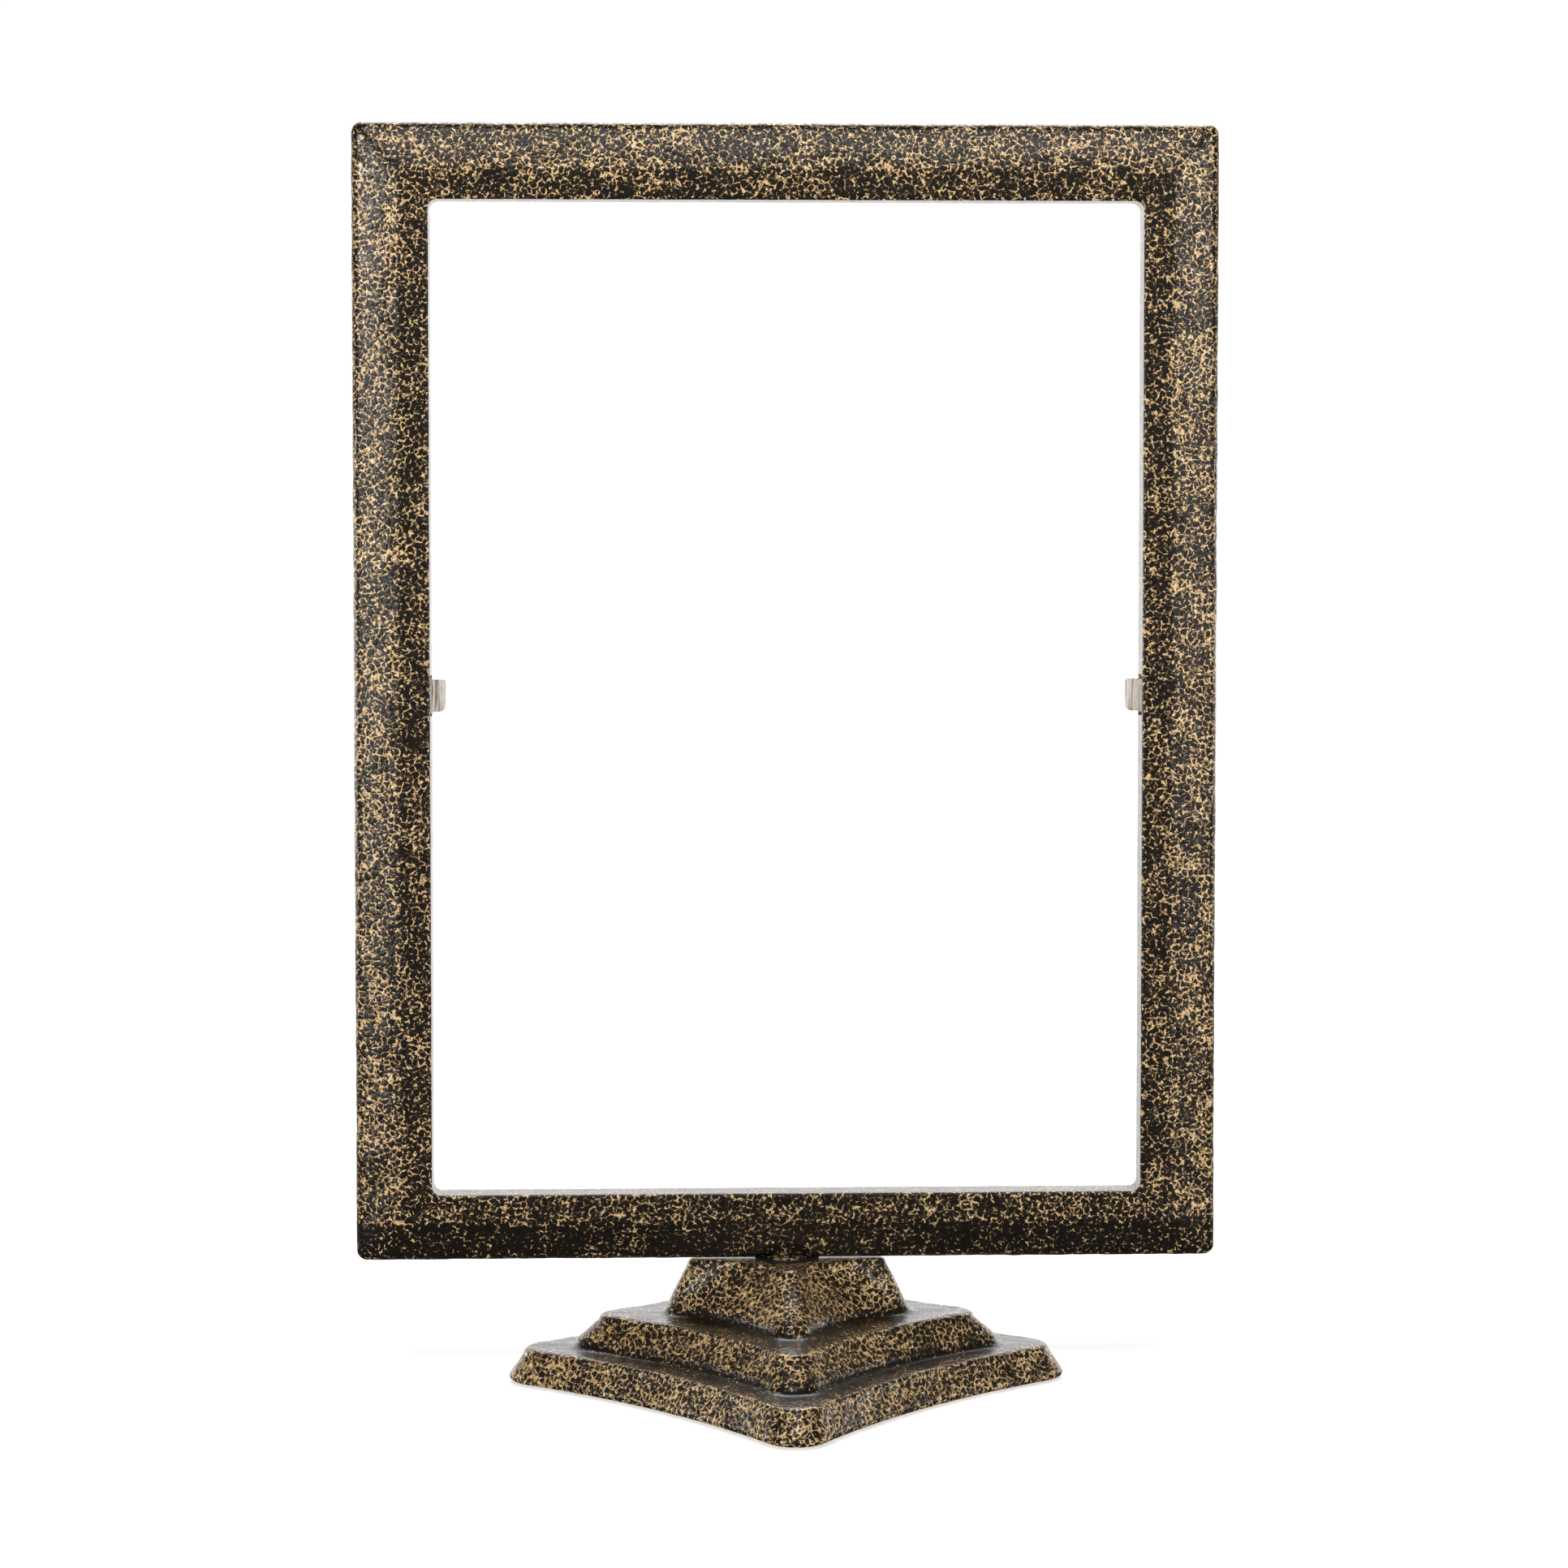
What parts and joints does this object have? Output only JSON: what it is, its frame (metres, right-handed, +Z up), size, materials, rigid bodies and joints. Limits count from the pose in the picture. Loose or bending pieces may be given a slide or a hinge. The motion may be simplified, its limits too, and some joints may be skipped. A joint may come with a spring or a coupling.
{
  "type": "floating frame",
  "caption": "Slim tabletop floating frame, open right through, with spring clips inside its side rails, on a stepped four-pointed pedestal that it swivels on.",
  "frame": {"origin": "centre of the object's bounding box at the level of the foot pads' undersides, on the pivot axis", "axes": "+Z up along the pivot axis, front towards -Y, +X to the right seen from the front"},
  "size_m": [0.1556, 0.1006, 0.2272],
  "materials": {
    "hammered_coat": "glossy hammered powder coat, near-black cells in a fine gold vein network",
    "clip_nickel": "warm nickel plate with fine brushing along the strip",
    "black_nylon": "satin black",
    "zinc_steel": "bright zinc plate",
    "pad_rubber": "matte moulded rubber"
  },
  "bodies": {
    "pedestal": {"pedestal_casting": "hammered_coat", "friction_washer": "black_nylon", "wave_washer": "zinc_steel", "front_foot_pad": "pad_rubber", "right_foot_pad": "pad_rubber", "back_foot_pad": "pad_rubber", "left_foot_pad": "pad_rubber"},
    "frame": {"frame_casting": "hammered_coat", "left_spring_clip": "clip_nickel", "left_clip_screw": "clip_nickel", "right_spring_clip": "clip_nickel", "right_clip_screw": "clip_nickel", "pivot_screw": "zinc_steel", "flat_washer": "zinc_steel"}
  },
  "joints": [
    {"name": "frame_swivel", "type": "hinge", "parent": "pedestal", "child": "frame", "pos_m": [0, 0, 0.02245], "axis": [0, 0, 1], "continuous": true}
  ]
}
